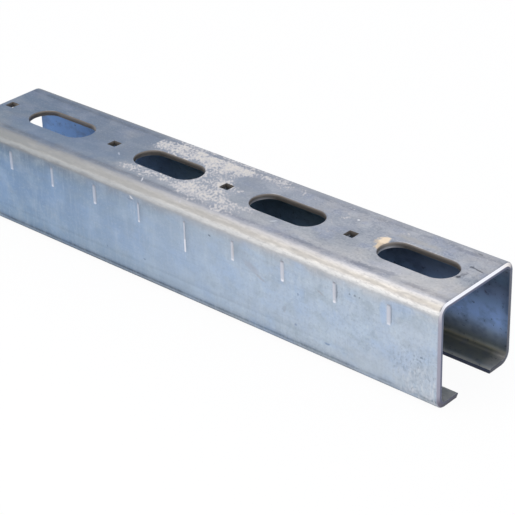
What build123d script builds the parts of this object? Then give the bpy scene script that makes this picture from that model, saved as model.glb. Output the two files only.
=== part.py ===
from build123d import *
import os

# Slotted C-channel: galvanised steel strip, punched flat, rolled into a C and sheared
# to length. Millimetres. X runs along the stock, with the end that the marks count
# from at +X. The slotted web is on top (+Z), the marked wall is at -Y, and the open
# side is down, with the two turned-in lips resting on Z = 0.

# Stock
length = 200.0
width = 36.0            # over the two side walls
height = 35.0           # from the underside of the lips to the top of the web
wall = 2.0              # strip thickness
bend_radius = 4.0       # outside of all four bends
lip_width = 10.0        # each lip, from the outside of its side wall to its tip
tip_round = 0.4         # rolled edge of the strip along each lip tip
end_rollover = 0.5      # outer edge that the shear drew down at both cut ends

# Punched holes along the middle of the web
slot_length = 27.5
slot_width = 12.0
slot_rollover = 0.3     # rim of a slot that the punch drew down
slot_pitch = 50.0
first_slot = 21.0       # from the counting end to the middle of the first slot
square_side = 3.6       # small square hole midway between two slots

# Length marks pressed into the outer face of one side wall
mark_pitch = 20.0
first_mark = 17.8       # from the counting end to the first mark
marks_to_long = 5       # every fifth mark is a long one
mark_width = 1.7
mark_corner = 0.7       # corner radius of a mark's outline
mark_depth = 0.3
mark_slope = 45.0       # degrees that a mark's sides lean in from the face
mark_top = 29.6         # height of the upper end of every mark
short_mark = 7.2
long_mark = 11.0

counting_end = length / 2


def row_along_length(first, pitch, extent, margin):
    # Places along X of equal cuts, as many as leave the margin of metal between the
    # last one and the far end.
    room = length - margin - extent / 2 - first
    count = int(room // pitch) + 1
    return [counting_end - first - pitch * number for number in range(count)]


def rolled_section():
    # The C drawn out along X: a rounded ring, opened between the lips.
    mouth = width - 2 * lip_width
    with BuildPart() as channel:
        with BuildSketch(Plane.YZ) as section:
            with Locations((0, height / 2)):
                RectangleRounded(width, height, bend_radius)
                RectangleRounded(
                    width - 2 * wall,
                    height - 2 * wall,
                    bend_radius - wall,
                    mode=Mode.SUBTRACT,
                )
            with Locations((0, wall / 2)):
                Rectangle(mouth, 2 * wall, mode=Mode.SUBTRACT)
            tips = [corner for corner in section.vertices() if abs(corner.X) < mouth / 2 + tip_round]
            fillet(tips, tip_round)
        extrude(amount=length / 2, both=True)
    return channel.part


def sheared_envelope():
    # The outer form as a solid bar, with its outer edges drawn down at both cuts.
    with BuildPart() as bar:
        with BuildSketch(Plane.YZ):
            with Locations((0, height / 2)):
                RectangleRounded(width, height, bend_radius)
        extrude(amount=length / 2, both=True)
        cut_faces = bar.faces().filter_by(Axis.X)
        fillet(cut_faces.edges(), end_rollover)
    return bar.part


def web_punching():
    # One row of obround slots, with a small square hole after each.
    slots = [(x, 0) for x in row_along_length(first_slot, slot_pitch, slot_length, wall)]
    first_square = first_slot + slot_pitch / 2
    squares = [(x, 0) for x in row_along_length(first_square, slot_pitch, square_side, wall)]
    with BuildPart() as punch:
        with BuildSketch(Plane((0, 0, height))):
            with Locations(*slots):
                SlotOverall(slot_length, slot_width)
            with Locations(*squares):
                Rectangle(square_side, square_side)
        extrude(amount=2 * wall, both=True)
    return punch.part


def with_drawn_rims(punched):
    # The punch went in from the top, so the upper rim of each slot is rounded.
    web_face = punched.faces().sort_by(Axis.Z)[-1]
    slot_rims = [rim for rim in web_face.inner_wires() if rim.length > 2 * slot_length]
    rim_edges = [edge for rim in slot_rims for edge in rim.edges()]
    return punched.fillet(slot_rollover, rim_edges)


def pressed_mark(reach):
    # One shallow groove that leans in on all sides. It hangs from the origin and goes
    # into a wall along +Y.
    with BuildPart() as mark:
        with BuildSketch(Plane((0, 0, 0), x_dir=(1, 0, 0), z_dir=(0, 1, 0))):
            with Locations((0, reach / 2)):
                RectangleRounded(mark_width, reach, mark_corner)
        extrude(amount=mark_depth, taper=mark_slope)
    return mark.part


def wall_marks():
    # Upright grooves, hung from one line below the upper bend, every fifth one long.
    short = pressed_mark(short_mark)
    long = pressed_mark(long_mark)
    places = row_along_length(first_mark, mark_pitch, mark_width, end_rollover)
    marks = []
    for number, x in enumerate(places, 1):
        mark = short if number % marks_to_long else long
        marks.append(Pos(x, -width / 2, mark_top) * mark)
    return marks


blank = rolled_section() & sheared_envelope()
punched = with_drawn_rims(blank - web_punching())
slotted_channel = punched - wall_marks()

os.makedirs("parts", exist_ok=True)
export_step(slotted_channel, "parts/slotted_channel.step")
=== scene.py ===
import bpy, bmesh
import math
import numpy as np
from mathutils import Matrix, Vector


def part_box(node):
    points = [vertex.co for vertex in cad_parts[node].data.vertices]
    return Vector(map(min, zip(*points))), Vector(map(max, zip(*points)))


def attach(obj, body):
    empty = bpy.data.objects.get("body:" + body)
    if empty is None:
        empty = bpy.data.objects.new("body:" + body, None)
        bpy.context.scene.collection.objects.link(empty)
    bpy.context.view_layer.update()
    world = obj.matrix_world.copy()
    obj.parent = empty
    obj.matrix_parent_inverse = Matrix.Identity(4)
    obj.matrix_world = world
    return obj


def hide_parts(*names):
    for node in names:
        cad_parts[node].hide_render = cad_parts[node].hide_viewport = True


# Slotted C-channel: one length of galvanised strip, punched, rolled and sheared.
# Sizes in the dictionaries are millimetres, Blender's own numbers are metres.
# Places along the stock are distances from the end that its marks count from.

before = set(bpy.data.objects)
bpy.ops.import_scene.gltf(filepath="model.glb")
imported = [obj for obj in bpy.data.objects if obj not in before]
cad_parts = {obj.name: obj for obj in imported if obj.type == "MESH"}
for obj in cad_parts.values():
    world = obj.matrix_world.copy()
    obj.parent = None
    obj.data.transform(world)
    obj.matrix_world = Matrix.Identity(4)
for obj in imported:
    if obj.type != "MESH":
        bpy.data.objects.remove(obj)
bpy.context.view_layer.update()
mm = 0.001
touching = 1e-6              # millimetres within which two places are the same
low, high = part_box("slotted_channel")
stockLength = (high[0] - low[0]) / mm
stockWidth = (high[1] - low[1]) / mm
stockHeight = (high[2] - low[2]) / mm
print("frame loaded:", round(stockLength), "mm of stock")

channel = {
    "wall": 2.0, "bendRadius": 4.0, "lipWidth": 10.0, "tipRound": 0.4,
    "bendSteps": 10, "tipSteps": 3,          # faces round a bend and round a lip's tip
    "wallStops": (28.0, 25.0, 12.0, 6.0),    # heights of spare grid lines on the side walls
    "endRollover": 0.5,      # outer edge drawn down by the shear
    "endShare": 0.85,        # of a quarter round that this edge takes up
    "cutStops": (0.0, 0.04, 0.14, 0.3, 0.5),     # grid lines beside each cut
    "cutSlant": 0.3,         # how far the outer edge stands back from the inner one
    "slantReach": 1.0,       # and how far along the stock that is taken up
    "cleanCut": 0.62,        # share of the thickness that the shear cut before it broke
    "cutBands": (0.5, 1.0, 1.25),            # rows of points over a cut, as shares of the clean part
    "sharpFrom": 50.0,       # degrees between faces from which an edge is shaded sharp
}
holes = {
    "slotLength": 27.5, "slotWidth": 12.0, "pitch": 50.0, "firstSlot": 21.0,
    "slotRollover": 0.3,     # how far the punch drew the rim of a slot down
    "rimShare": 0.9,         # of a quarter round that this rim takes up
    "squareSide": 3.6, "squareCorner": 0.2, "squareRollover": 0.1,
    "squareReach": 1.0,      # how far out the grid bends to a square hole's corners
    "slotCore": (13.0, 5.2),             # half size of the grid cells that a slot takes out
    "slotRings": (0.08, 0.2, 0.4, 2.0, 4.0),  # grid lines that follow its outline, beyond that core
    "slotStops": (8.0, 8.8, 9.6, 10.3, 11.0, 11.7, 12.4),    # and those within it, from its middle
    # grid lines along the web, from its middle
    "acrossStops": (0.0, 0.9, 2.6, 3.4, 4.1, 4.7), "edgeStops": (11.6, 12.8),
    "cleanCut": 0.45,        # share of the thickness that the punch cut before it broke
}
marks = {
    "pitch": 20.0, "first": 17.8, "everyLong": 5, "width": 1.7, "corner": 0.7,
    "depth": 0.3, "slope": 0.3,              # and how wide its leaning sides are
    "top": 29.6, "short": 7.2, "long": 11.0,     # height of the upper end, and lengths
    "force": (1.0, 0.8, 1.0, 0.85, 0.5, 0.55, 1.0, 0.7, 1.0, 0.9),   # how hard each was pressed
}
# The mesh tells the material where each point lies. "girth" is its distance round the
# outside, "inside" runs from 0 on the outer skin to 1 on the inner one, "pressed" is 1 on
# a mark's floor, and "sheared" is one of these on the wall of a hole or on a cut end.
shearedKinds = {"hole": 1.0, "end": 2.0}


def rowPlaces(first, pitch, extent, margin):
    # Distances from the counting end, while the margin of metal is left at the far end.
    room = stockLength - margin - extent / 2 - first
    return first + pitch * np.arange(int(room // pitch) + 1)


slotPlaces = rowPlaces(holes["firstSlot"], holes["pitch"], holes["slotLength"], channel["wall"])
firstSquare = holes["firstSlot"] + holes["pitch"] / 2
squarePlaces = rowPlaces(firstSquare, holes["pitch"], holes["squareSide"], channel["wall"])
markPlaces = rowPlaces(marks["first"], marks["pitch"], marks["width"], channel["endRollover"])
markForce = np.resize(marks["force"], len(markPlaces))


def smooth(value):
    # 0 below 0, 1 above 1, three squares less two cubes between.
    value = np.clip(value, 0, 1)
    return value * value * (3 - 2 * value)


def columns(*values):
    return np.column_stack(np.broadcast_arrays(*values))


def halfSection():
    # The section from the web's middle out to the lip's tip, as rows of outer y, z,
    # inner y, z and the outer normal. A bend is its centre plus its radius times the
    # sine and cosine of the angle turned so far.
    t, r, tip = channel["wall"], channel["bendRadius"], channel["tipRound"]
    w, h = stockWidth / 2, stockHeight
    a, b = w - r, h - r
    tipAt = w - channel["lipWidth"] + tip
    core = holes["slotCore"][1]
    rings = core + np.array(holes["slotRings"])
    lines = [holes["acrossStops"], [holes["squareSide"] / 2, core], rings, holes["edgeStops"]]
    web = np.unique(np.concatenate(lines))
    slopeStops = np.array([0, 0.5, 1]) * marks["slope"]
    heights = np.concatenate([
        channel["wallStops"],
        marks["top"] - marks["long"] + slopeStops,
        marks["top"] - marks["short"] + slopeStops,
        marks["top"] - slopeStops,
    ])
    heights = np.sort(heights)[::-1]
    turned = np.radians(np.linspace(0, 90, channel["bendSteps"] + 1))
    s, c = np.sin(turned), np.cos(turned)
    s2, c2 = np.sin(turned + math.pi / 2), np.cos(turned + math.pi / 2)
    rolled = np.radians(np.linspace(0, 90, channel["tipSteps"] + 1))
    st, drop = np.sin(rolled), tip * (1 - np.cos(rolled))
    return np.vstack([
        columns(web, h, web, h - t, 0, 1),
        columns(a + r * s, b + r * c, a + (r - t) * s, b + (r - t) * c, s, c),
        columns(w, heights, w - t, heights, 1, 0),
        columns(a + r * s2, r + r * c2, a + (r - t) * s2, r + (r - t) * c2, s2, c2),
        columns((a + tipAt) / 2, 0, (a + tipAt) / 2, t, 0, -1),
        columns(tipAt - tip * st, drop, tipAt - tip * st, t - drop, -st, -np.cos(rolled)),
    ])


def wholeSection():
    # The half section and its mirror image, from the marked side's lip tip to the other
    # tip, with the signed distance round the outside from the web's middle.
    half = halfSection()
    steps = np.hypot(np.diff(half[:, 0]), np.diff(half[:, 1]))
    girth = np.concatenate([[0], np.cumsum(steps)])
    flip = np.array([-1, 1, -1, 1, -1, 1])
    rows = np.vstack([half[:0:-1] * flip, half])
    return rows, np.concatenate([-girth[:0:-1], girth])


def stationsAlong():
    # Distances from the counting end at which the section is repeated.
    core = holes["slotCore"][0]
    slotLines = np.concatenate([holes["slotStops"], [core], core + np.array(holes["slotRings"])])
    squareLines = np.array([holes["squareSide"] / 2])
    half = marks["width"] / 2
    markLines = np.outer([half, half - marks["slope"] / 2, half - marks["slope"]], markForce)
    cuts = np.array(channel["cutStops"])
    lines = [
        np.add.outer(slotPlaces, np.concatenate([-slotLines, slotLines])).ravel(),
        np.add.outer(squarePlaces, np.concatenate([-squareLines, squareLines])).ravel(),
        (markPlaces + markLines).ravel(), (markPlaces - markLines).ravel(),
        cuts, stockLength - cuts,
    ]
    along = np.unique(np.round(np.concatenate(lines), 3))
    return along[(along >= 0) & (along <= stockLength)]


def span(chosen):
    # The slice of lines from the first chosen one to the last.
    where = np.flatnonzero(chosen)
    return slice(where[0], where[-1] + 1)


def nearest(places, along):
    return places[np.abs(along[:, None] - places[None, :]).argmin(axis=1)]


def fitOutline(along, across, core, outline, corner, reach):
    # Bends the grid round a hole. A point that stands on the rectangle core + e goes to
    # the rounded rectangle outline + e, at the same share of its quarter turn, and the
    # move fades out as e grows to the reach.
    u, v = np.abs(along), np.abs(across)
    e = np.maximum(np.maximum(u - core[0], v - core[1]), 0)
    sideU, sideV = core[0] + e, core[1] + e
    onSide = (u - core[0]) >= (v - core[1])
    share = np.where(onSide, v, sideV + sideU - u) / (sideU + sideV)
    radius = corner + e
    flatU, flatV = outline[0] - corner, outline[1] - corner
    quarter = radius * math.pi / 2
    walk = share * (flatV + quarter + flatU)
    angle = np.clip((walk - flatV) / radius, 0, math.pi / 2)
    targetU = flatU + radius * np.cos(angle) - np.clip(walk - flatV - quarter, 0, None)
    targetV = np.minimum(walk, flatV) + radius * np.sin(angle)
    weight = 1 - smooth(e / reach)
    shiftU = np.sign(along) * (targetU - u) * weight
    shiftV = np.sign(across) * (targetV - v) * weight
    return shiftU, shiftV, e


def pressedShare(along, height):
    # How far down a pressed mark each point lies, 0 to 1: the distance inside a rounded
    # rectangle over the slope's width, eased at both ends. Returned with the mark's force.
    number = np.abs(along[:, None] - markPlaces[None, :]).argmin(axis=1)
    force = markForce[number]
    reach = np.where((number + 1) % marks["everyLong"], marks["short"], marks["long"])
    corner = (marks["corner"] * force)[:, None]
    du = (np.abs(along - markPlaces[number]) - marks["width"] / 2 * force)[:, None] + corner
    dz = np.abs(height[None, :] - (marks["top"] - reach / 2)[:, None]) - (reach / 2)[:, None] + corner
    outside = np.hypot(np.maximum(du, 0), np.maximum(dz, 0)) + np.minimum(np.maximum(du, dz), 0)
    return smooth((corner - outside) / (marks["slope"] * force[:, None])), force[:, None]


def webRows(section):
    # The lines of the section that run over the flat of the web.
    flat = stockWidth / 2 - channel["bendRadius"]
    return span((section[:, 1] > stockHeight - touching) & (np.abs(section[:, 0]) <= flat + touching))


def punchWeb(place, along, across):
    # Bends the web's grid round its holes. A slot's rim sinks as a quarter round: by its
    # radius less the height left of the circle, stopping short of upright.
    core, outline = holes["slotCore"], (holes["slotLength"] / 2, holes["slotWidth"] / 2)
    square = (holes["squareSide"] / 2, holes["squareSide"] / 2)
    fromSlot = (along - nearest(slotPlaces, along))[:, None]
    fromSquare = (along - nearest(squarePlaces, along))[:, None]
    slotU, slotV, e = fitOutline(fromSlot, across, core, outline, outline[1], holes["slotRings"][-1])
    squareU, squareV, e2 = fitOutline(fromSquare, across, square, square, holes["squareCorner"],
                                      holes["squareReach"])
    place[..., 0] += (slotU + squareU)[..., None]
    place[..., 1] += (slotV + squareV)[..., None]
    roll = holes["slotRollover"]
    depth = roll - np.sqrt(roll ** 2 - np.clip(roll - e, 0, holes["rimShare"] * roll) ** 2)
    place[:, :, 0, 2] -= depth + holes["squareRollover"] * (e2 < touching)


def pressMarks(place, along, height):
    # Sinks the marked wall's outer points by the marks' depth times their force times the
    # pressed share, which is returned.
    share, force = pressedShare(along, height)
    place[:, :, 0, 1] += marks["depth"] * force * share
    return share


def shearEnds(place, along, normal):
    # Draws the outer points down against their normal at both cuts, as a quarter round, and
    # moves them inwards along the stock, by less the further they are from the cut.
    r = channel["endRollover"]
    toCut = np.minimum(along, stockLength - along)
    drawn = r - np.sqrt(r * r - np.clip(r - toCut, 0, channel["endShare"] * r) ** 2)
    place[:, :, 0, 1:] -= drawn[:, None, None] * normal[None]
    slant = channel["cutSlant"] * np.clip(1 - toCut / channel["slantReach"], 0, 1)
    place[:, :, 0, 0] += (slant * np.sign(stockLength / 2 - along))[:, None]


def missingCells(along, across):
    # The cells of the web's grid whose middles lie within a slot's or a square hole's core.
    middle = (along[:-1] + along[1:]) / 2
    between = np.abs(across[:-1] + across[1:]) / 2
    gone = np.zeros((len(middle), len(between)), bool)
    half = holes["squareSide"] / 2
    for places, core in ((slotPlaces, holes["slotCore"]), (squarePlaces, (half, half))):
        near = np.abs(middle - nearest(places, middle)) < core[0]
        gone |= near[:, None] & (between < core[1])[None, :]
    return gone


def skinFaces(index, web, gone):
    # Outer and inner quads between neighbouring lines and stations, without the missing
    # cells, and the strips that close the lips' tips.
    keep = np.ones((index.shape[0] - 1, index.shape[1] - 1), bool)
    keep[:, web.start:web.stop - 1] = ~gone
    quads = np.stack([index[:-1, :-1], index[1:, :-1], index[1:, 1:], index[:-1, 1:]], axis=-1)
    tips = [np.stack([index[:-1, j, 0], index[1:, j, 0], index[1:, j, 1], index[:-1, j, 1]], axis=-1)
            for j in (0, -1)]
    return np.vstack([quads[:, :, 0][keep], quads[:, :, 1][keep]] + tips)


def holeWalls(index, web, gone, points):
    # Two bands of quads down from each grid edge between a kept cell and a missing one,
    # with new points between them at the share that the punch cut clean.
    rim = index[:, web, 0]
    padded = np.pad(gone, 1)
    i, k = np.nonzero(padded[1:-1, :-1] != padded[1:-1, 1:])
    lengthways = np.stack([rim[i, k], rim[i + 1, k]], -1)
    i, k = np.nonzero(padded[:-1, 1:-1] != padded[1:, 1:-1])
    crossways = np.stack([rim[i, k], rim[i, k + 1]], -1)
    edges = np.vstack([lengthways, crossways])
    used, order = np.unique(edges, return_inverse=True)
    share = holes["cleanCut"]
    ring = len(points) + order.reshape(-1, 2)
    faces = np.vstack([
        np.column_stack([edges[:, 0], edges[:, 1], ring[:, 1], ring[:, 0]]),
        np.column_stack([ring[:, 0], ring[:, 1], edges[:, 1] + 1, edges[:, 0] + 1]),
    ])
    return used, points[used] * (1 - share) + points[used + 1] * share, faces


def endCuts(index, place, start):
    # Bands of quads across the thickness at both ends, at shares of it that are closer
    # where the clean cut ends, with new points numbered from the start.
    shares = np.array(channel["cutBands"]) * channel["cleanCut"]
    points, faces = [], []
    for end in (0, len(index) - 1):
        outer, inner = place[end, :, 0], place[end, :, 1]
        rows = outer[None] * (1 - shares[:, None, None]) + inner[None] * shares[:, None, None]
        ids = start + np.arange(rows[..., 0].size).reshape(rows.shape[:2])
        ids = np.vstack([index[end, :, 0], ids, index[end, :, 1]])
        start += rows[..., 0].size
        points.append(rows.reshape(-1, 3))
        faces.append(np.stack([ids[:-1, :-1], ids[:-1, 1:], ids[1:, 1:], ids[1:, :-1]], -1).reshape(-1, 4))
    return shares, np.vstack(points), np.vstack(faces)


def meshObject(name, points, faces, layers, kind):
    # A mesh with values on its points and the kind of each face, without loose points, with
    # its faces turned outwards and its cut ends shaded flat.
    mesh = bpy.data.meshes.new(name)
    mesh.from_pydata((points * mm).tolist(), [], faces.tolist())
    for layer, values in layers.items():
        mesh.attributes.new(layer, "FLOAT", "POINT").data.foreach_set("value", values)
    mesh.attributes.new("sheared", "FLOAT", "FACE").data.foreach_set("value", kind)
    work = bmesh.new()
    work.from_mesh(mesh)
    loose = [point for point in work.verts if not point.link_faces]
    bmesh.ops.delete(work, geom=loose, context="VERTS")
    bmesh.ops.recalc_face_normals(work, faces=work.faces)
    work.to_mesh(mesh)
    work.free()
    mesh.attributes["sheared"].data.foreach_get("value", kind)
    mesh.polygons.foreach_set("use_smooth", kind < shearedKinds["end"])
    mesh.set_sharp_from_angle(angle=math.radians(channel["sharpFrom"]))
    piece = bpy.data.objects.new(name, mesh)
    bpy.context.collection.objects.link(piece)
    return piece


def makeChannel():
    # The section repeated along the stock as a grid of outer and inner points, shaped by
    # punch, marks and shear, and closed with lip tips, hole walls and end cuts.
    section, girth = wholeSection()
    along = stationsAlong()
    count, lines = len(along), len(section)
    across, height = section[:, 0], section[:, 1]
    y, z = section[:, [0, 2]], section[:, [1, 3]]
    place = np.stack(np.broadcast_arrays(along[:, None, None], y[None], z[None]), axis=-1).copy()
    web, marked = webRows(section), span(np.abs(across + stockWidth / 2) < touching)
    punchWeb(place[:, web], along, across[web][None, :])
    pressed = np.zeros((count, lines, 2))
    pressed[:, marked, 0] = pressMarks(place[:, marked], along, height[marked])
    shearEnds(place, along, section[:, 4:])

    index = np.arange(count * lines * 2).reshape(count, lines, 2)
    gone = missingCells(along, across[web])
    points = place.reshape(-1, 3)
    skin = skinFaces(index, web, gone)
    used, holePoints, wallFaces = holeWalls(index, web, gone, points)
    shares, cutPoints, cutFaces = endCuts(index, place, len(points) + len(holePoints))
    points = np.vstack([points, holePoints, cutPoints])
    points[:, 0] = stockLength / 2 - points[:, 0]

    def everywhere(values, holeValue, cutValue):
        # A value on the skin's points, continued on the points of holes and cuts.
        return np.concatenate([np.ravel(values), holeValue, np.tile(np.ravel(cutValue), 2)])

    cutGirth = np.tile(girth, len(shares))
    layers = {
        "girth": everywhere(np.broadcast_to(girth[None, :, None], (count, lines, 2)),
                            girth[(used // 2) % lines], cutGirth),
        "inside": everywhere(np.broadcast_to([0.0, 1.0], (count, lines, 2)),
                             np.full(len(used), holes["cleanCut"]), np.repeat(shares, lines)),
        "pressed": everywhere(pressed, np.zeros(len(used)), np.zeros(len(cutGirth))),
    }
    kind = np.repeat([0.0, shearedKinds["hole"], shearedKinds["end"]],
                     [len(skin), len(wallFaces), len(cutFaces)])
    piece = meshObject("slotted_channel_skin", points, np.vstack([skin, wallFaces, cutFaces]), layers, kind)
    print("channel:", count, "stations,", lines, "lines round,", len(piece.data.polygons), "faces")
    return piece


def colour(code):
    # sRGB hex to linear
    parts = [int(code[i:i + 2], 16) / 255 for i in (1, 3, 5)]
    return tuple(c / 12.92 if c <= 0.04045 else ((c + 0.055) / 1.055) ** 2.4 for c in parts) + (1.0,)


def add(tree, kind, links=None, **settings):
    # One node with its settings, its fixed inputs and its links.
    node = tree.nodes.new(kind)
    for name, value in settings.items():
        setattr(node, name, value)
    for name, value in (links or {}).items():
        if isinstance(value, bpy.types.NodeSocket):
            tree.links.new(value, node.inputs[name])
        else:
            node.inputs[name].default_value = value
    return node


def newMaterial(name):
    material = bpy.data.materials.new(name)
    material.use_nodes = True
    material.node_tree.nodes.clear()
    return material, material.node_tree


# Galvanised steel strip, dipped, skin-passed and cold rolled: dull zinc that mirrors its
# surroundings softly, rubbed where the rolls bore on the bends, which carry painted
# highlights, and bluer on the flats, partly the zinc's own tint and partly a painted reflection.
zinc = {
    "roughness": 0.42, "roughnessVaries": 0.1, "bendRoughness": 0.08,
    # tone of the marked half by distance round the outside from the web's middle, with painted highlights on
    # the bend and a wall bluer partly by a painted reflection
    "markedHalf": (
        (0.0, "#9CA0A6"), (7.0, "#A4A7AA"), (10.5, "#B2B2B2"), (11.8, "#ABACAE"), (12.8, "#94959B"),
        (13.6, "#A1A1A7"), (14.6, "#C2C1C3"), (15.4, "#DFDBD7"), (16.1, "#CFCCC6"), (17.0, "#AFADA8"),
        (17.6, "#B8B6B1"), (18.4, "#E9E7E1"), (18.9, "#E4E3DE"), (19.8, "#BDBEBF"), (21.0, "#B2B6BC"),
        (23.0, "#B4C0CC"), (34.0, "#B6C5D6"), (42.6, "#B8C5D3"), (43.2, "#AFBCCA"), (44.0, "#BAC7D4"),
        (46.6, "#B1BDC9"), (47.4, "#9AA7B5"), (47.8, "#6E7A88"), (48.1, "#6E7A88"), (48.7, "#A8B3BE"),
        (49.3, "#9AA4B0"), (50.2, "#77818D"), (52.0, "#8D96A2"), (59.8, "#8E959E"),
    ),
    # other tones that take over from some of those, between two places along the stock
    "markedChanges": (
        # painted highlights on the bend's two traces, brightest at the counting end
        (48.0, 26.0, (
            (14.6, "#CDCCCE"), (15.4, "#F1EDE8"), (16.1, "#DBD8D2"), (17.0, "#AEACA6"), (17.6, "#B7B4AF"),
            (18.4, "#F2F0EA"), (18.9, "#ECEBE6"), (19.8, "#C6C8C9"), (20.8, "#BEC2C7"), (22.0, "#B8C1CA"),
            (23.0, "#B7C3CF"),
        )),
        # further on the painted highlights run together, over a darker line on the wall
        (70.0, 170.0, (
            (12.8, "#989696"), (13.6, "#9F9C9B"), (14.6, "#BAB6B4"), (15.4, "#CAC8C4"), (16.1, "#CDC9C2"),
            (17.0, "#C6C4BE"), (17.6, "#CCC8C0"), (18.4, "#E8E5DD"), (18.9, "#DCDAD4"), (19.8, "#ADADAD"),
            (20.8, "#A0A2A6"), (22.0, "#9EA5AE"), (23.5, "#A1ADB9"), (26.0, "#A7B5C6"), (30.0, "#ABBACB"),
            (34.0, "#B0BFD2"),
        )),
    ),
    # tone of the plain half, whose bends carry less painted highlight
    "plainHalf": (
        (0.0, "#9CA0A6"), (9.0, "#9DA1A8"), (11.8, "#9A9DA5"), (12.8, "#85888F"), (13.8, "#94979D"),
        (16.0, "#A9ABAF"), (18.0, "#A4A7AC"), (20.3, "#A9AEB6"), (24.0, "#AEBBCB"), (43.0, "#AFBDCF"),
        (46.8, "#A4B0C0"), (47.6, "#8E9BAC"), (59.8, "#8E959E"),
    ),
    "reach": 60.0,           # distance round the outside at which all these ramps end
    # painted shade: the zinc darkens towards the end that the marks don't count from, bluer on the flats, as
    # less light falls there
    "farShadeFrom": 30.0, "farShadeTo": 200.0, "flatsShadedFar": "#B4C9DC", "bendsShadedFar": "#C6CBCF",
    # the bend lies between these, by the same distance, and blends into web and wall
    "webEnds": 14.0, "wallStarts": 20.6, "zoneBlend": 1.0,
    "noise": (0.2, 0.8),     # limits that the noise seldom passes
    # the rolls' traces waver on web and bend: how far in millimetres, and over what size
    "waver": 0.8, "waverSize": (8.0, 1.3, 1.3),
    "jitter": 0.5, "jitterSize": (1.8, 0.6, 0.6), "jitterDetail": 2.0,
    "evenFrom": 24.0, "evenTo": 28.0, "evenShare": 0.15,     # and how little low on the walls
}
# Patterns in the coat. Each has a feature size along, across and up, the low and high
# limit of its noise, a shade and a share. The zinc's own grain is too fine to show, and is
# drawn as coarse as 0.75 mm.
coat = {
    "wall": (
        ((9.0, 9.0, 7.0), 0.47, 0.66, "#CAD8E2", 0.4),
        ((6.0, 6.0, 5.0), 0.48, 0.66, "#9BA7AE", 0.42),
        ((13.0, 9.0, 9.0), 0.5, 0.64, "#9CB8DC", 0.4),
        ((1.1, 1.1, 9.0), 0.5, 0.75, "#CCD6DE", 0.3),
        ((2.3, 2.0, 2.3), 0.52, 0.7, "#8E9CAC", 0.25),
        ((0.9, 0.9, 0.9), 0.5, 0.68, "#7F8E9C", 0.26),
        ((0.75, 0.7, 0.7), 0.54, 0.7, "#D8DEDF", 0.25),
    ),
    "web": (
        ((8.0, 6.0, 6.0), 0.47, 0.66, "#C2C3C4", 0.45),
        ((6.0, 5.0, 5.0), 0.48, 0.68, "#7F8792", 0.45),
        ((11.0, 8.0, 8.0), 0.52, 0.66, "#B2ABA2", 0.35),
        ((9.0, 7.0, 7.0), 0.52, 0.66, "#8390AE", 0.35),
        ((2.2, 2.0, 2.0), 0.52, 0.7, "#747B86", 0.35),
        ((0.9, 0.9, 0.9), 0.5, 0.68, "#6C737E", 0.4),
        ((0.75, 0.7, 0.7), 0.54, 0.7, "#CFCFCE", 0.4),
    ),
    "bend": (
        ((5.0, 1.2, 1.2), 0.5, 0.7, "#E4E2DD", 0.22),
        ((4.0, 0.9, 0.9), 0.5, 0.7, "#8E9094", 0.25),
        ((1.2, 0.6, 0.6), 0.52, 0.7, "#85868A", 0.24),
    ),
    "rolled": ((70.0, 0.9, 0.9), 0.5, 0.8, "#8C919A", 0.16),    # lines that the rolls drew out
    "specks": ((1.0, 1.0, 1.0), 0.7, 0.76, "#5F6B7B", 0.45),
    "nearTo": 30.0, "farFrom": 100.0,
    "farShare": 0.45,        # what is left further on of the zones' patterns and the specks
    "detail": 5.0,           # octaves of their noise
    "tipShade": "#454A5A", "tipShadeFrom": 59.2,     # painted shade on the slit edges of the strip, along the lips' tips
    "bumpSize": (0.6, 0.6, 0.6), "bumpHeight": 0.010,
    "waveSize": (24.0, 7.0, 7.0), "waveHeight": 0.02, "waveDetail": 1.0,
    # weathered patch low on the marked wall: place and half size, each with its patterns
    "weathered": (
        ((6.0, 5.5, 8.0, 6.5), (((0.9, 0.9, 4.0), 0.48, 0.64, "#DDE0E2", 0.7),
                                ((2.6, 2.0, 2.6), 0.48, 0.62, "#D5D8DC", 0.5))),
        ((8.5, 11.0, 9.0, 8.5), (((0.9, 0.9, 1.3), 0.53, 0.67, "#64768A", 0.6),
                                 ((2.0, 1.0, 2.4), 0.52, 0.67, "#74869A", 0.5))),
    ),
    "wornEdge": 0.9, "wornDepth": 3.0,       # share of the patch over which it thins out, and its depth
}
# Pressed marks: the punch left brighter zinc, with a painted highlight low down on each mark and painted
# shade at its top.
pressedZinc = {
    "floor": "#CFD0D6", "floorShare": 0.85, "floorFrom": 0.1, "floorTo": 0.6,    # by depth
    "dimFrom": 50.0, "dimTo": 150.0, "dimShare": 0.62,   # duller away from the counting end
    # heights between which the painted highlight low down and the painted shade at the top take over
    "highlightAndShadeEnds": ((23.4, 22.8, "#EDEDF0"), (28.6, 29.5, "#7C7E88")),
}
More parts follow.
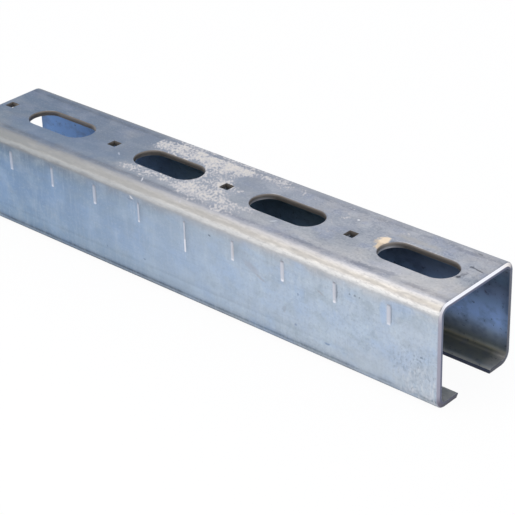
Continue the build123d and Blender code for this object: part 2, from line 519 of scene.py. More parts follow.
# White rust: chalky zinc carbonate where the web lay wet, matt and pale, in short runs.
# Patches are place along, place across, half length, half width and weight; those with
# a negative weight stay bare. Places across count towards the plain side wall.
whiteRust = {
    "patches": (
        (122.0, 10.8, 16.0, 4.6, 1.35), (103.0, 2.0, 8.0, 15.0, 0.9), (90.0, 12.0, 13.0, 3.4, 0.9),
        (119.0, -9.2, 16.0, 4.4, 0.88), (88.5, -9.2, 10.0, 5.2, 0.95), (94.0, -1.5, 4.5, 4.0, 0.6),
        (89.5, 6.2, 6.0, 3.8, -1.3), (120.0, -13.0, 15.0, 2.4, -0.6), (112.0, 13.6, 30.0, 0.7, -0.6),
        (54.0, 3.0, 4.0, 6.0, 0.34), (62.0, 12.0, 14.0, 2.5, 0.3), (36.0, 11.0, 10.0, 3.0, 0.25),
        (86.5, -4.8, 4.5, 2.6, -0.8),
    ),
    "depth": 3.0,            # of every patch
    "stopsAt": 135.4, "stopBlend": 0.3,      # something that lay across kept the rest dry
    "edge": 0.9,             # share of a patch over which it thins out
    "colour": "#B6B6B8", "thick": "#CAC6BF", "roughness": 0.85,
    "runs": ((0.8, 1.4, 1.4), 1.35), "runTurn": 42.0,    # size and share of each noise in it
    "lumps": ((4.0, 4.0, 4.0), 0.85), "lumpDetail": 2.0, "noise": (0.3, 0.7),
    "zone": (0.02, 0.2), "filmZone": (0.1, 0.6),         # limits of the patches alone
    "shows": (1.66, 2.16), "isThick": (2.15, 2.8),       # limits of patch and noises together
    "film": "#A4A8AF", "filmShare": 0.35,                # thin bloom between the runs
    "height": 0.05,
}
# Inner skin: dull unrubbed zinc with painted light and shade: bluer where daylight reaches the
# walls, painted shade in the lower bends and on the lips, and grime. Tones run from the marked side's lip
# round to the plain side's.
innerZinc = {
    "stops": (
        (-60.0, "#D0D2CC"), (-59.0, "#B0B2AA"), (-54.0, "#A6A8A0"), (-50.0, "#5E6068"), (-44.0, "#7F8CA2"),
        (-14.0, "#76808E"), (14.0, "#76808E"), (18.5, "#6C788C"), (20.4, "#8694A8"), (22.3, "#6E849E"),
        (24.3, "#5E748C"), (26.3, "#677891"), (29.3, "#768AAB"), (32.3, "#829EC6"), (35.3, "#94B4E4"),
        (38.3, "#9CBEF0"), (41.3, "#95AED2"), (43.3, "#8494A6"), (45.3, "#76818B"), (46.5, "#757E7F"),
        (47.3, "#A2A6A0"), (48.5, "#9E9C86"), (49.2, "#6C6E62"), (50.0, "#4E524C"), (51.4, "#4A4F4A"),
        (53.0, "#5A605E"), (58.0, "#666A66"), (59.6, "#A0A29C"),
    ),
    "matt": 0.6,             # share of it that scatters light as a matt coat does
    "grime": ((3.5, 2.5, 2.5), 0.48, 0.72, "#3E4A60", 0.4),
    "spots": ((1.3, 1.3, 1.3), 0.64, 0.72, "#343A48", 0.6),
    "lipStarts": 47.0, "lipBlend": 2.0,      # by distance round the outside
    # zone, distance that counts, where the tint starts and where it is full, colour, share
    "tints": (
        # painted shade, less blue, out of the daylight's reach, and painted light, bluer again, near the far
        # end
        ("inner", "along", 35.0, 75.0, "#3E6C60", 0.3), ("inner", "along", 150.0, 175.0, "#6A98D2", 0.8),
        # the walls darken beside the cuts, and painted light brightens the lips towards them
        ("sideWall", "toCut", 3.0, 0.6, "#3C4656", 0.4), ("lip", "toCut", 5.0, 0.5, "#B4B2AC", 0.6),
    ),
}
# Sheared and punched metal: the clean part of a cut is bright, the broken part dark, and
# both scatter light as torn metal does. Round the section the end cuts also carry painted
# light, white on the web, and painted shade, darkest on the plain side wall.
cuts = {
    # tone of the clean part round the section, from the marked side's lip to the other lip, with painted
    # light on the web and painted shade on the walls
    "clean": (
        (-60.0, "#46464E"), (-53.0, "#4A4A55"), (-49.0, "#65616E"), (-46.0, "#9D9AA6"), (-22.0, "#A5A2AD"),
        (-18.5, "#D6D2D4"), (-15.0, "#FFFFFF"), (11.0, "#FFFFFF"), (14.5, "#FFF8F0"), (17.0, "#D4CEC8"),
        (19.0, "#565C6E"), (24.0, "#3C4252"), (45.0, "#383E4C"), (52.0, "#424450"), (60.0, "#404148"),
    ),
    # and of the broken part
    "broken": ((-60.0, "#484956"), (-46.0, "#5C6074"), (-20.0, "#626A7C"), (-12.0, "#545A72"),
               (14.0, "#4E546A"), (22.0, "#363C4C"), (60.0, "#363A44")),
    "hole": "#8C857D", "holeBroken": "#5A5753",
    # the broken part of a hole's wall is lit where it faces the counting end
    "holeLit": "#A9ABAD", "litFrom": 0.25, "litTo": 0.9, "litStarts": 0.5, "litBlend": 0.35,
    "litNear": 80.0, "litFar": 105.0, "litLeft": 0.25,      # share that is left of it further on
    "blend": 0.05, "holeBlend": 0.3,         # half the share of the thickness over which they turn
    "matt": 0.9, "holeMatt": 0.6,
    "edgeTint": "#9C95A2", "edgeWidth": 0.6, "edgeShare": 0.8,      # skin drawn down, marked side, painted darker as shade over its highlight
}
blemishDepth = 2.0           # half of how deep each of these ellipses reaches, across its face
# Single blemishes on the outer skin, by face, with how far noise drives their outlines
# about and the size of that noise. Each is an ellipse: its place along and across, or its
# height on the marked wall, half its length, half its width, the degrees that it is
# turned, a colour and a share.
blemishes = (
    # wide washes first; the pale ones near the counting end, on web and wall, are painted light
    ("web", 7.0, 6.0, (
        (12.0, -9.0, 17.0, 6.0, 0.0, "#D6D2CC", 0.28), (6.0, 8.0, 8.0, 6.0, 0.0, "#BCBCBE", 0.14),
        (26.0, -8.5, 22.0, 5.5, 0.0, "#BEBBB6", 0.16), (27.0, 10.0, 16.0, 3.0, 0.0, "#B4B3B0", 0.2),
        (46.0, -3.0, 8.0, 8.0, 0.0, "#868C96", 0.2), (160.0, -7.0, 26.0, 7.0, 0.0, "#627C9C", 0.3),
    )),
    ("wall", 8.0, 7.0, (
        (9.0, 15.0, 13.0, 11.0, 0.0, "#C8CFD6", 0.28), (22.0, 6.5, 20.0, 4.0, 0.0, "#C2CBD4", 0.38),
    )),
    ("web", 3.0, 1.3, (
        (35.8, 3.0, 1.8, 2.2, 0.0, "#EEDABC", 0.95), (35.2, -0.4, 1.0, 2.0, 8.0, "#DCC6A6", 0.85),
        (37.0, 1.2, 1.0, 1.2, 0.0, "#D8C2A4", 0.6), (5.7, 0.4, 0.5, 2.4, -12.0, "#61636B", 0.6),
        (24.6, -11.6, 5.0, 0.9, 4.0, "#7A7E88", 0.5), (31.5, -12.7, 4.0, 0.8, 3.0, "#6F747E", 0.5),
        (12.0, -13.0, 4.0, 0.6, 0.0, "#7E7F86", 0.45), (55.0, -12.6, 5.0, 0.7, 0.0, "#757B86", 0.45),
        (12.0, 12.4, 5.0, 0.8, 0.0, "#7C7F88", 0.45), (27.0, 8.4, 7.0, 1.1, 0.0, "#A9A6A0", 0.5),
    )),
    ("web", 0.8, 0.9, (
        (4.1, 5.6, 2.4, 0.3, -11.0, "#4C4E56", 0.75), (6.3, 6.0, 0.5, 0.6, 0.0, "#4C4E56", 0.7),
        (6.1, -1.0, 0.5, 0.7, 0.0, "#3E4048", 0.85), (8.7, 13.5, 0.8, 0.4, 0.0, "#5C5E66", 0.6),
        (49.7, 8.2, 0.4, 0.4, 0.0, "#F4F4F2", 0.8), (69.4, -8.3, 1.2, 0.3, 45.0, "#DADCDE", 0.6),
        (139.4, -4.4, 0.9, 0.3, -40.0, "#C8CED8", 0.6), (120.3, -13.1, 1.3, 0.25, -60.0, "#E8E8E8", 0.7),
    )),
    ("wall", 1.0, 0.9, (
        (120.6, 30.4, 0.9, 0.3, 25.0, "#EAE9E8", 0.6), (121.4, 29.7, 1.2, 0.3, 0.0, "#77818E", 0.4),
        (32.0, 27.6, 0.35, 0.3, 0.0, "#66727F", 0.5), (30.1, 27.7, 0.45, 0.3, 0.0, "#66727F", 0.55),
        (28.4, 27.6, 0.4, 0.35, 0.0, "#66727F", 0.45), (5.9, 16.2, 0.5, 0.35, 0.0, "#55697F", 0.5),
        (40.6, 7.4, 1.1, 0.35, 0.0, "#6C84A6", 0.6), (57.2, 13.2, 0.7, 1.3, 20.0, "#84858E", 0.25),
        (87.2, 28.1, 0.55, 0.35, 0.0, "#66707C", 0.65), (51.7, 20.2, 0.4, 0.5, 0.0, "#7282A0", 0.5),
        (52.8, 9.4, 0.4, 0.3, 0.0, "#7282A0", 0.5), (116.4, 9.7, 0.5, 0.3, 0.0, "#66758C", 0.5),
        (133.4, 8.8, 0.4, 0.4, 0.0, "#66758C", 0.4), (43.0, 24.0, 1.4, 0.3, 25.0, "#9A979C", 0.4),
        (66.5, 20.5, 2.2, 0.4, 25.0, "#9E9A9E", 0.4), (77.7, 26.2, 0.35, 2.6, 0.0, "#9A8F84", 0.7),
        (36.8, 26.3, 0.3, 3.2, 0.0, "#646872", 0.5), (16.8, 26.3, 0.25, 3.2, 0.0, "#7C818C", 0.5),
        (70.0, 23.0, 3.0, 1.2, 20.0, "#A9ACB6", 0.4), (19.8, 26.0, 1.1, 4.0, 0.0, "#A8BFDC", 0.4),
    )),
)


def toneByGirth(tree, distance, stops, start=0.0):
    # Colour ramp over a distance round the outside, from the start to the reach.
    reach = zinc["reach"]
    position = add(tree, "ShaderNodeMapRange", {0: distance, 1: start, 2: reach}).outputs[0]
    ramp = add(tree, "ShaderNodeValToRGB", {0: position})
    elements = ramp.color_ramp.elements
    for number, (place, code) in enumerate(stops):
        element = elements[number] if number < len(elements) else elements.new(1.0)
        element.position = (place - start) / (reach - start)
        element.color = colour(code)
    return ramp.outputs[0]


usualDetail = 3.0            # octaves of a noise that has none of its own
noiseMiddle = 0.5


def patches(tree, spot, size, low, high, most=1.0, detail=usualDetail, turn=0.0):
    # Soft patches of a size in millimetres: 0 under the low limit of the noise, the most
    # over the high one.
    turned = add(tree, "ShaderNodeMapping", {
        "Vector": spot, "Rotation": (0, 0, math.radians(turn)), "Scale": [side * mm for side in size],
    }, vector_type="TEXTURE").outputs[0]
    noise = add(tree, "ShaderNodeTexNoise", {"Vector": turned, "Scale": 1.0, "Detail": detail}).outputs[0]
    return add(tree, "ShaderNodeMapRange", {0: noise, 1: low, 2: high, 4: most}).outputs[0]


def ellipse(tree, spot, place, half, turn=(0, 0, 0), most=1.0, edge=0.45):
    # The most inside an ellipse and 0 outside it, over a soft edge that takes that share.
    moved = add(tree, "ShaderNodeMapping", {
        "Vector": spot, "Location": [side * mm for side in place],
        "Rotation": [math.radians(side) for side in turn], "Scale": [side * mm for side in half],
    }, vector_type="TEXTURE").outputs[0]
    away = add(tree, "ShaderNodeVectorMath", {0: moved}, operation="LENGTH").outputs["Value"]
    return add(tree, "ShaderNodeMapRange", {0: away, 1: 1 + edge / 2, 2: 1 - edge / 2, 4: most}).outputs[0]


def layOver(tree, tone, layers):
    # Lays colours over a tone one after another, each by its mask.
    for mask, over in layers:
        over = colour(over) if isinstance(over, str) else over
        tone = add(tree, "ShaderNodeMix", {0: mask, 6: tone, 7: over}, data_type="RGBA").outputs[2]
    return tone


def coatPatterns(tree, at, tone, patterns, where):
    # Lays patterns of the coat over the tone where a mask says.
    layers = []
    for size, low, high, shade, share in patterns:
        mask = patches(tree, at["spot"], size, low, high, most=share, detail=coat["detail"])
        mask = add(tree, "ShaderNodeMath", {0: mask, 1: where}, operation="MULTIPLY").outputs[0]
        layers.append((mask, shade))
    return layOver(tree, tone, layers)


outerBelow = 0.5             # inside and sheared together, under which a point is outer skin
innerAbove = 0.9             # inside, over which it is inner skin
sameKind = 0.2               # how near to its kind the sheared value has to be


def surfacePlaces(tree):
    # Where on the channel a point lies: its attributes and place, and a mask for each zone.
    at = {name: add(tree, "ShaderNodeAttribute", attribute_name=name).outputs["Fac"]
          for name in ("girth", "inside", "pressed", "sheared")}
    at["spot"] = add(tree, "ShaderNodeTexCoord").outputs["Object"]
    place = add(tree, "ShaderNodeSeparateXYZ", {0: at["spot"]}).outputs
    at["z"] = place["Z"]
    at["size"] = add(tree, "ShaderNodeMath", {0: at["girth"]}, operation="ABSOLUTE").outputs[0]
    at["markedSide"] = add(tree, "ShaderNodeMath", {0: at["girth"], 1: 0.0}, operation="LESS_THAN").outputs[0]
    webEnds, wallStarts, lipStarts = zinc["webEnds"], zinc["wallStarts"], innerZinc["lipStarts"]
    zones = (
        ("web", webEnds + zinc["zoneBlend"], webEnds),
        ("wall", wallStarts - zinc["zoneBlend"], wallStarts),
        ("lip", lipStarts, lipStarts + innerZinc["lipBlend"]),
    )
    for zone, start, full in zones:
        at[zone] = add(tree, "ShaderNodeMapRange", {0: at["size"], 1: start, 2: full}).outputs[0]
    flats = add(tree, "ShaderNodeMath", {0: at["web"], 1: at["wall"]}, operation="ADD").outputs[0]
    for zone, whole, less in (("bend", 1.0, flats), ("sideWall", at["wall"], at["lip"])):
        at[zone] = add(tree, "ShaderNodeMath", {0: whole, 1: less}, operation="SUBTRACT").outputs[0]
    away = add(tree, "ShaderNodeMath", {0: place["X"]}, operation="ABSOLUTE").outputs[0]
    half = stockLength / 2 * mm
    for name, less in (("toCut", away), ("along", place["X"])):
        at[name] = add(tree, "ShaderNodeMath", {0: half, 1: less}, operation="SUBTRACT").outputs[0]
    within = add(tree, "ShaderNodeMath", {0: at["inside"], 1: at["sheared"]}, operation="ADD").outputs[0]
    at["outer"] = add(tree, "ShaderNodeMath", {0: within, 1: outerBelow}, operation="LESS_THAN").outputs[0]
    at["inner"] = add(tree, "ShaderNodeMath", {0: at["inside"], 1: innerAbove},
                      operation="GREATER_THAN").outputs[0]
    for name, kind in shearedKinds.items():
        same = add(tree, "ShaderNodeMath", {0: at["sheared"], 1: kind, 2: sameKind}, operation="COMPARE")
        at[name] = same.outputs[0]
    return at


def zincTone(tree, at):
    # Tone round the section, whose traces of the rolls waver, with painted highlights on the bends, and
    # painted shade that darkens it along the stock.
    even = add(tree, "ShaderNodeMapRange", {
        0: at["size"], 1: zinc["evenFrom"], 2: zinc["evenTo"], 3: 1.0, 4: zinc["evenShare"]}).outputs[0]
    low, high = zinc["noise"]
    waver = patches(tree, at["spot"], zinc["waverSize"], low, high, most=zinc["waver"])
    jitter = patches(tree, at["spot"], zinc["jitterSize"], low, high, most=zinc["jitter"],
                     detail=zinc["jitterDetail"])
    moved = add(tree, "ShaderNodeMath", {0: waver, 1: jitter}, operation="ADD").outputs[0]
    middle = (zinc["waver"] + zinc["jitter"]) / 2
    moved = add(tree, "ShaderNodeMath", {0: moved, 1: middle}, operation="SUBTRACT").outputs[0]
    trace = add(tree, "ShaderNodeMath", {0: moved, 1: even, 2: at["size"]},
                operation="MULTIPLY_ADD").outputs[0]
    layers = []
    for none, full, stops in zinc["markedChanges"]:
        kept = [stop for stop in zinc["markedHalf"] if not stops[0][0] <= stop[0] <= stops[-1][0]]
        share = add(tree, "ShaderNodeMapRange", {0: at["along"], 1: none * mm, 2: full * mm},
                    interpolation_type="SMOOTHSTEP").outputs[0]
        layers.append((share, toneByGirth(tree, trace, sorted(kept + list(stops)))))
    marked = layOver(tree, toneByGirth(tree, trace, zinc["markedHalf"]), layers)
    plain = toneByGirth(tree, trace, zinc["plainHalf"])
    tone = layOver(tree, plain, [(at["markedSide"], marked)])
    # painted shade: darker and bluer towards the far end, where less light falls
    farShade = add(tree, "ShaderNodeMapRange", {
        0: at["along"], 1: zinc["farShadeFrom"] * mm, 2: zinc["farShadeTo"] * mm,
    }, interpolation_type="SMOOTHSTEP").outputs[0]
    farShadeTint = layOver(tree, colour(zinc["flatsShadedFar"]), [(at["bend"], zinc["bendsShadedFar"])])
    return add(tree, "ShaderNodeMix", {0: farShade, 6: tone, 7: farShadeTint},
               data_type="RGBA", blend_type="MULTIPLY").outputs[2]


def coatTone(tree, at, tone):
    # Clouds, grain, specks and rolling lines in the coat, the weathered patch, and painted shade on the lips'
    # tips.
    near = add(tree, "ShaderNodeMapRange", {
        0: at["along"], 1: coat["farFrom"] * mm, 2: coat["nearTo"] * mm, 3: coat["farShare"]}).outputs[0]
    for zone in ("wall", "web", "bend"):
        where = add(tree, "ShaderNodeMath", {0: at[zone], 1: near}, operation="MULTIPLY").outputs[0]
        tone = coatPatterns(tree, at, tone, coat[zone], where)
    tone = coatPatterns(tree, at, tone, [coat["specks"]], near)
    tone = coatPatterns(tree, at, tone, [coat["rolled"]], at["outer"])
    for (u, height, halfU, halfZ), patterns in coat["weathered"]:
        place = (stockLength / 2 - u, -stockWidth / 2, height)
        worn = ellipse(tree, at["spot"], place, (halfU, coat["wornDepth"], halfZ), edge=coat["wornEdge"])
        tone = coatPatterns(tree, at, tone, patterns, worn)
    # painted shade on the lips' tips
    tipShade = add(tree, "ShaderNodeMath", {0: at["size"], 1: coat["tipShadeFrom"]}, operation="GREATER_THAN")
    return layOver(tree, tone, [(tipShade.outputs[0], coat["tipShade"])])


def blemishTone(tree, at, tone):
    # Single blemishes, each an ellipse whose place noise drives about.
    for face, reach, size, places in blemishes:
        noise = add(tree, "ShaderNodeTexNoise", {
            "Vector": at["spot"], "Scale": 1 / (size * mm), "Detail": usualDetail}).outputs["Color"]
        noise = add(tree, "ShaderNodeVectorMath", {0: noise, 1: [noiseMiddle] * 3},
                    operation="SUBTRACT").outputs[0]
        ragged = add(tree, "ShaderNodeVectorMath", {0: noise, 1: [reach * mm] * 3, 2: at["spot"]},
                     operation="MULTIPLY_ADD").outputs[0]
        layers = []
        for u, across, halfU, halfAcross, turn, code, share in places:
            if face == "web":
                place, half = (across, stockHeight), (halfU, halfAcross, blemishDepth)
                turned = (0, 0, turn)
            else:
                place, half = (-stockWidth / 2, across), (halfU, blemishDepth, halfAcross)
                turned = (0, turn, 0)
            place = (stockLength / 2 - u,) + place
            layers.append((ellipse(tree, ragged, place, half, turned, most=share), code))
        tone = layOver(tree, tone, layers)
    return tone


def pressedTone(tree, at, tone):
    # A mark's bright floor by depth, with a painted highlight low down and painted shade at its top, by
    # height.
    bright = add(tree, "ShaderNodeMapRange", {
        0: at["along"], 1: pressedZinc["dimFrom"] * mm, 2: pressedZinc["dimTo"] * mm,
        3: pressedZinc["floorShare"], 4: pressedZinc["floorShare"] * pressedZinc["dimShare"]}).outputs[0]
    floor = add(tree, "ShaderNodeMapRange", {
        0: at["pressed"], 1: pressedZinc["floorFrom"], 2: pressedZinc["floorTo"], 4: bright}).outputs[0]
    layers = [(floor, pressedZinc["floor"])]
    for start, full, shade in pressedZinc["highlightAndShadeEnds"]:
        mask = add(tree, "ShaderNodeMapRange", {0: at["z"], 1: start * mm, 2: full * mm, 4: floor})
        layers.append((mask.outputs[0], shade))
    return layOver(tree, tone, layers)


def rustOver(tree, at, tone):
    # The patches' ellipses times their weights, with the noises added, show over a limit.
    # Returned with the mask of the rust itself.
    zone = 0.0
    for u, v, halfU, halfV, weight in whiteRust["patches"]:
        mask = ellipse(tree, at["spot"], (stockLength / 2 - u, v, stockHeight),
                       (halfU, halfV, whiteRust["depth"]), edge=whiteRust["edge"])
        zone = add(tree, "ShaderNodeMath", {0: mask, 1: weight, 2: zone}, operation="MULTIPLY_ADD").outputs[0]
    stop, blend = whiteRust["stopsAt"] * mm, whiteRust["stopBlend"] * mm
    wet = add(tree, "ShaderNodeMapRange", {
        0: at["along"], 1: stop + blend, 2: stop - blend, 4: at["outer"]}).outputs[0]
    zone = add(tree, "ShaderNodeMath", {0: zone, 1: wet}, operation="MULTIPLY").outputs[0]
    low, high = whiteRust["noise"]
    size, share = whiteRust["runs"]
    uneven = patches(tree, at["spot"], size, low, high, most=share, turn=whiteRust["runTurn"])
    size, share = whiteRust["lumps"]
    lumps = patches(tree, at["spot"], size, low, high, most=share, detail=whiteRust["lumpDetail"])
    for part in (lumps, zone):
        uneven = add(tree, "ShaderNodeMath", {0: uneven, 1: part}, operation="ADD").outputs[0]
    low, high = whiteRust["zone"]
    inZone = add(tree, "ShaderNodeMapRange", {0: zone, 1: low, 2: high}).outputs[0]
    low, high = whiteRust["shows"]
    rust = add(tree, "ShaderNodeMapRange", {0: uneven, 1: low, 2: high, 4: inZone}).outputs[0]
    low, high = whiteRust["isThick"]
    thick = add(tree, "ShaderNodeMapRange", {0: uneven, 1: low, 2: high}).outputs[0]
    low, high = whiteRust["filmZone"]
    film = add(tree, "ShaderNodeMapRange", {0: zone, 1: low, 2: high, 4: whiteRust["filmShare"]}).outputs[0]
    chalk = layOver(tree, colour(whiteRust["colour"]), [(thick, whiteRust["thick"])])
    return layOver(tree, tone, [(film, whiteRust["film"]), (rust, chalk)]), rust


def innerTone(tree, at):
    # Tone round the inner skin, with its painted light and shade, tinted by place along the stock and near
    # the cuts.
    tone = toneByGirth(tree, at["girth"], innerZinc["stops"], -zinc["reach"])
    layers = []
    for zone, distance, start, full, tint, share in innerZinc["tints"]:
        mask = add(tree, "ShaderNodeMapRange", {
            0: at[distance], 1: start * mm, 2: full * mm, 4: share}).outputs[0]
        mask = add(tree, "ShaderNodeMath", {0: mask, 1: at[zone]}, operation="MULTIPLY").outputs[0]
        layers.append((mask, tint))
    tone = layOver(tree, tone, layers)
    return coatPatterns(tree, at, tone, [innerZinc["grime"], innerZinc["spots"]], at["inner"])


def shearedTone(tree, at, tone):
    # Hole walls and end cuts over the tone, each turning from its clean part to its broken
    # one over the thickness, with painted light and shade round the end cuts, painted light on
    # hole walls that face the counting end, and painted shade on the skin's edge along the cuts.
    edge = add(tree, "ShaderNodeMapRange", {
        0: at["toCut"], 1: cuts["edgeWidth"] * mm, 2: cuts["edgeWidth"] / 2 * mm,
        4: cuts["edgeShare"]}).outputs[0]
    for zone in ("wall", "outer", "markedSide"):
        edge = add(tree, "ShaderNodeMath", {0: edge, 1: at[zone]}, operation="MULTIPLY").outputs[0]
    endBreaks, holeBreaks = (
        add(tree, "ShaderNodeMapRange", {0: at["inside"], 1: turns - blend, 2: turns + blend}).outputs[0]
        for turns, blend in ((channel["cleanCut"], cuts["blend"]), (holes["cleanCut"], cuts["holeBlend"])))
    clean, broken = (toneByGirth(tree, at["girth"], cuts[part], -zinc["reach"])
                     for part in ("clean", "broken"))
    end = layOver(tree, clean, [(endBreaks, broken)])
    facing = add(tree, "ShaderNodeNewGeometry").outputs["Normal"]
    facing = add(tree, "ShaderNodeSeparateXYZ", {0: facing}).outputs["X"]
    most = add(tree, "ShaderNodeMapRange", {
        0: at["along"], 1: cuts["litNear"] * mm, 2: cuts["litFar"] * mm, 3: 1.0,
        4: cuts["litLeft"]}).outputs[0]
    facing = add(tree, "ShaderNodeMapRange", {
        0: facing, 1: cuts["litFrom"], 2: cuts["litTo"], 4: most}).outputs[0]
    lit = add(tree, "ShaderNodeMapRange", {
        0: at["inside"], 1: cuts["litStarts"], 2: cuts["litStarts"] + cuts["litBlend"], 4: facing}).outputs[0]
    hole = layOver(tree, colour(cuts["hole"]), [(holeBreaks, cuts["holeBroken"]), (lit, cuts["holeLit"])])
    return layOver(tree, tone, [(edge, cuts["edgeTint"]), (at["hole"], hole), (at["end"], end)])


def galvanisedSteel():
    # All tones laid over one another on one metal shader, which is matt where its share of
    # mirroring zinc falls, with roughness and relief from the same masks.
    material, tree = newMaterial("galvanised_steel")
    at = surfacePlaces(tree)
    tone = coatTone(tree, at, zincTone(tree, at))
    tone = pressedTone(tree, at, blemishTone(tree, at, tone))
    tone, rust = rustOver(tree, at, tone)
    tone = layOver(tree, tone, [(at["inner"], innerTone(tree, at))])
    tone = shearedTone(tree, at, tone)

    # how much of the zinc is left to mirror, after chalk, dull coat and torn metal
    mirrors = add(tree, "ShaderNodeMath", {0: 1.0, 1: rust}, operation="SUBTRACT").outputs[0]
    for zone, matt in (("inner", innerZinc["matt"]), ("hole", cuts["holeMatt"]), ("end", cuts["matt"])):
        left = add(tree, "ShaderNodeMapRange", {0: at[zone], 3: 1.0, 4: 1 - matt}).outputs[0]
        mirrors = add(tree, "ShaderNodeMath", {0: mirrors, 1: left}, operation="MULTIPLY").outputs[0]
    low, high = zinc["noise"]
    uneven = patches(tree, at["spot"], zinc["waverSize"], low, high)
    gloss = add(tree, "ShaderNodeMapRange", {
        0: uneven, 3: zinc["roughness"] - zinc["roughnessVaries"] / 2,
        4: zinc["roughness"] + zinc["roughnessVaries"] / 2}).outputs[0]
    gloss = add(tree, "ShaderNodeMath", {0: at["bend"], 1: zinc["bendRoughness"], 2: gloss},
                operation="MULTIPLY_ADD").outputs[0]
    gloss = add(tree, "ShaderNodeMix", {0: rust, 2: gloss, 3: whiteRust["roughness"]}).outputs[0]

    # relief: long waves, the coat's grain and the rust's own thickness
    fine = patches(tree, at["spot"], coat["bumpSize"], low, high)
    wave = patches(tree, at["spot"], coat["waveSize"], low, high, detail=coat["waveDetail"])
    reliefs = ((wave, coat["waveHeight"]), (fine, coat["bumpHeight"]), (rust, whiteRust["height"]))
    normal = add(tree, "ShaderNodeNewGeometry").outputs["Normal"]
    for height, amount in reliefs:
        normal = add(tree, "ShaderNodeBump", {
            "Height": height, "Distance": amount * mm, "Strength": 1.0, "Normal": normal}).outputs[0]
    shader = add(tree, "ShaderNodeBsdfPrincipled", {
        "Base Color": tone, "Metallic": mirrors, "Roughness": gloss, "Normal": normal})
    add(tree, "ShaderNodeOutputMaterial", {"Surface": shader.outputs["BSDF"]})
    print("galvanised steel:", len(tree.nodes), "nodes")
    return material


piece = makeChannel()
piece.data.materials.append(galvanisedSteel())
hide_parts("slotted_channel")
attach(piece, "root")

studio = {
    "floor": "#F4F4F4", "floorSize": 12.0, "world": "#F2F5FF", "worldStrength": 1.0,
    "floorSeen": 0.95,       # share of plain white that the camera sees in the floor
    "floorMirrored": 0.3,    # and that the metal mirrors
    # how far in from the stock's open ends and its sides its metal mirrors the lit floor
    "openReach": 48.0, "sideReach": 0.01,
    "lamps": (
        # name, place, what it points at, size, power, colour
        ("key", (-0.04, -0.25, 0.36), (0.08, 0.0, 0.02), 0.28, 0.6, "#FFF4E6"),
        ("back", (-0.20, 0.42, 0.34), (0.08, 0.0, 0.03), 0.3, 0.1, "#FFFFFF"),
    ),
}


def makeFloor():
    # A flat square that glows for the camera and, past the stock's outline, for the metal.
    half = studio["floorSize"] / 2
    mesh = bpy.data.meshes.new("floor")
    corners = [(-half, -half, 0), (half, -half, 0), (half, half, 0), (-half, half, 0)]
    mesh.from_pydata(corners, [], [(0, 1, 2, 3)])
    floor = bpy.data.objects.new("floor", mesh)
    bpy.context.collection.objects.link(floor)
    material, tree = newMaterial("pale_floor")
    path = add(tree, "ShaderNodeLightPath").outputs
    # the stock keeps the glow from under itself: glossy rays that land there see plain floor
    spot = add(tree, "ShaderNodeTexCoord").outputs["Object"]
    part = add(tree, "ShaderNodeSeparateXYZ", {0: spot}).outputs
    out = []
    sides = ((part[0], stockLength, studio["openReach"]), (part[1], stockWidth, studio["sideReach"]))
    for socket, extent, fade in sides:
        away = add(tree, "ShaderNodeMath", {0: socket}, operation="ABSOLUTE").outputs[0]
        out.append(add(tree, "ShaderNodeMapRange", {
            0: away, 1: (extent / 2 - fade) * mm, 2: extent / 2 * mm, 3: 0.0, 4: 1.0}).outputs[0])
    clear = add(tree, "ShaderNodeMath", {0: out[0], 1: out[1]}, operation="MAXIMUM").outputs[0]
    mirrored = add(tree, "ShaderNodeMapRange", {0: path["Is Glossy Ray"], 4: clear}).outputs[0]
    mirrored = add(tree, "ShaderNodeMapRange", {0: mirrored, 4: studio["floorMirrored"]}).outputs[0]
    share = add(tree, "ShaderNodeMath", {0: path["Is Camera Ray"], 1: studio["floorSeen"], 2: mirrored},
                operation="MULTIPLY_ADD").outputs[0]
    matt = add(tree, "ShaderNodeBsdfDiffuse", {"Color": colour(studio["floor"])})
    glow = add(tree, "ShaderNodeEmission", {"Color": (1, 1, 1, 1), "Strength": 1.0})
    both = add(tree, "ShaderNodeMixShader", {0: share, 1: matt.outputs[0], 2: glow.outputs[0]})
    add(tree, "ShaderNodeOutputMaterial", {"Surface": both.outputs[0]})
    mesh.materials.append(material)


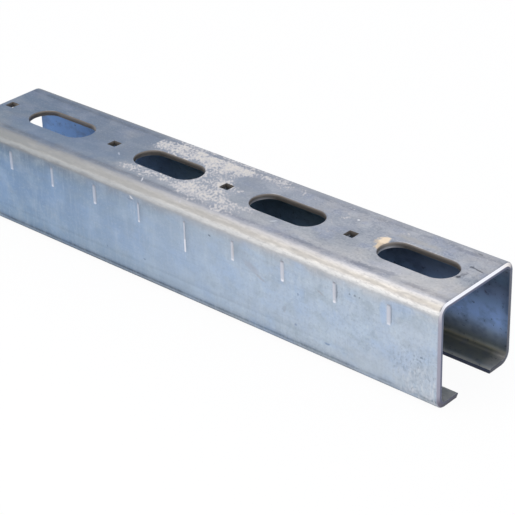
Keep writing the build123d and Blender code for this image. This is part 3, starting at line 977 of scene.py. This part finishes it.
def makeLights():
    # A world that lights evenly and shows white to the camera, and the lamps.
    world = bpy.data.worlds.new("studio")
    world.use_nodes = True
    tree = world.node_tree
    tree.nodes.clear()
    path = add(tree, "ShaderNodeLightPath").outputs
    light = add(tree, "ShaderNodeBackground", {
        "Color": colour(studio["world"]), "Strength": studio["worldStrength"]}).outputs[0]
    white = add(tree, "ShaderNodeBackground", {"Color": (1, 1, 1, 1), "Strength": 1.0}).outputs[0]
    mix = add(tree, "ShaderNodeMixShader", {0: path["Is Camera Ray"], 1: light, 2: white})
    add(tree, "ShaderNodeOutputWorld", {"Surface": mix.outputs[0]})
    bpy.context.scene.world = world
    for name, place, aim, size, power, tint in studio["lamps"]:
        lamp = bpy.data.lights.new(name, "AREA")
        lamp.shape = "SQUARE"
        lamp.size = size
        lamp.energy = power
        lamp.color = colour(tint)[:3]
        holder = bpy.data.objects.new(name, lamp)
        holder.location = place
        holder.rotation_euler = (Vector(aim) - Vector(place)).to_track_quat("-Z", "Y").to_euler()
        holder.visible_camera = False
        bpy.context.collection.objects.link(holder)


# Places are millimetres from the middle of the counting end's foot.
view = {
    "place": (259.35, -375.82, 296.7), "aim": (-79.33, -5.01, 17.5),
    "lean": 1.777,           # degrees that the camera's top leans to its right
    "lens": 129.44, "sensor": 36.0, "nearest": 10.0,
}


def makeCamera():
    # Right is the way forward crossed with the upright, up is right crossed with forward,
    # and both are then turned by the lean.
    foot = Vector((stockLength / 2, 0, 0))
    place = (foot + Vector(view["place"])) * mm
    aim = (foot + Vector(view["aim"])) * mm
    forward = (aim - place).normalized()
    right = forward.cross(Vector((0, 0, 1))).normalized()
    up = right.cross(forward)
    lean = math.radians(view["lean"])
    leanUp = up * math.cos(lean) + right * math.sin(lean)
    leanRight = right * math.cos(lean) - up * math.sin(lean)
    turned = Matrix((leanRight, leanUp, -forward)).transposed().to_4x4()
    data = bpy.data.cameras.new("photo_view")
    data.sensor_fit = "HORIZONTAL"
    data.sensor_width = view["sensor"]
    data.lens = view["lens"]
    data.clip_start = view["nearest"] * mm
    camera = bpy.data.objects.new("photo_view", data)
    camera.matrix_world = Matrix.Translation(place) @ turned
    bpy.context.collection.objects.link(camera)
    bpy.context.scene.camera = camera


makeFloor()
makeLights()
makeCamera()
bpy.context.scene.view_settings.view_transform = "Standard"
print("studio ready")
